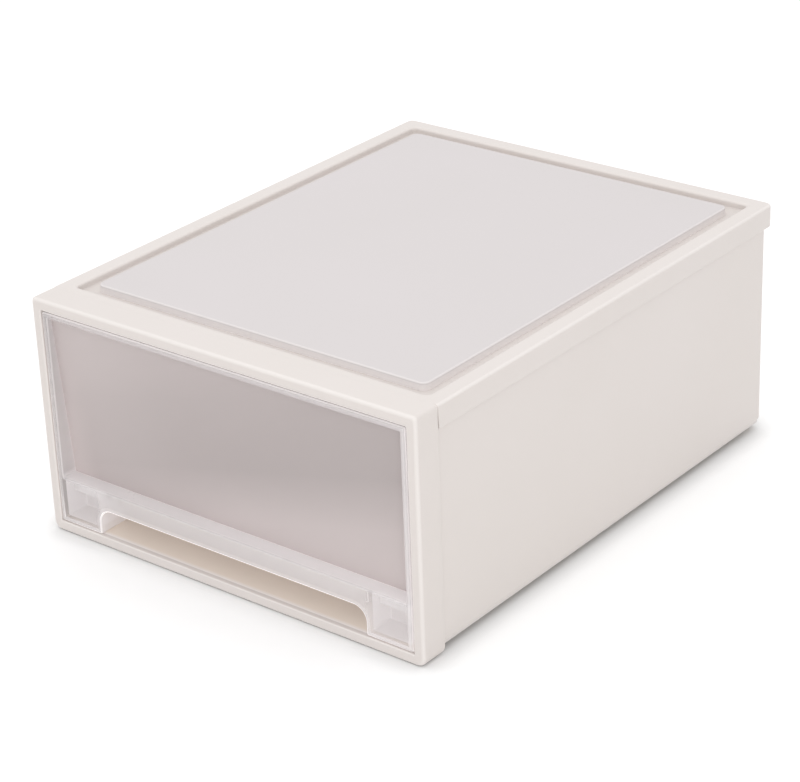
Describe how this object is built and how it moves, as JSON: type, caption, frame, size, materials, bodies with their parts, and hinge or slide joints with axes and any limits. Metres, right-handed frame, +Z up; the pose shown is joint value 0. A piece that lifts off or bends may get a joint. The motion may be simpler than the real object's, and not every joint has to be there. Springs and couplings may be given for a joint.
{
  "type": "shoe storage drawer box",
  "caption": "Stackable plastic case with a skirted lid and a framed front, holding a frosted pull-out drawer with a clear front and a finger lip, for storing shoes or small goods.",
  "frame": {"origin": "on the standing surface, under the middle of the case", "axes": "+Z up, +Y from the drawer front to the back, +X to the right of someone facing the drawer"},
  "size_m": [0.26, 0.33, 0.1405],
  "materials": {
    "case_plastic": "off-white moulded plastic, satin",
    "panel_plastic": "off-white frosted plastic with a faint lilac cast",
    "base_plastic": "warm off-white moulded plastic, satin",
    "runner_plastic": "slick off-white plastic",
    "clear_plastic": "natural clear plastic, polished",
    "frosted_plastic": "natural translucent plastic, frosted"
  },
  "bodies": {
    "case": {"front_frame": "case_plastic", "lid": "case_plastic", "lid_panel": "panel_plastic", "left_side_panel": "case_plastic", "right_side_panel": "case_plastic", "back_panel": "case_plastic", "base_panel": "base_plastic", "left_runner": "runner_plastic", "right_runner": "runner_plastic", "opening_stops": "runner_plastic", "rear_feet": "case_plastic"},
    "drawer": {"drawer_front": "clear_plastic", "drawer_bin": "frosted_plastic"}
  },
  "joints": [
    {"name": "drawer_slide", "type": "slide", "parent": "case", "child": "drawer", "axis": [0, -1, 0], "range_m": [0, 0.239]}
  ]
}
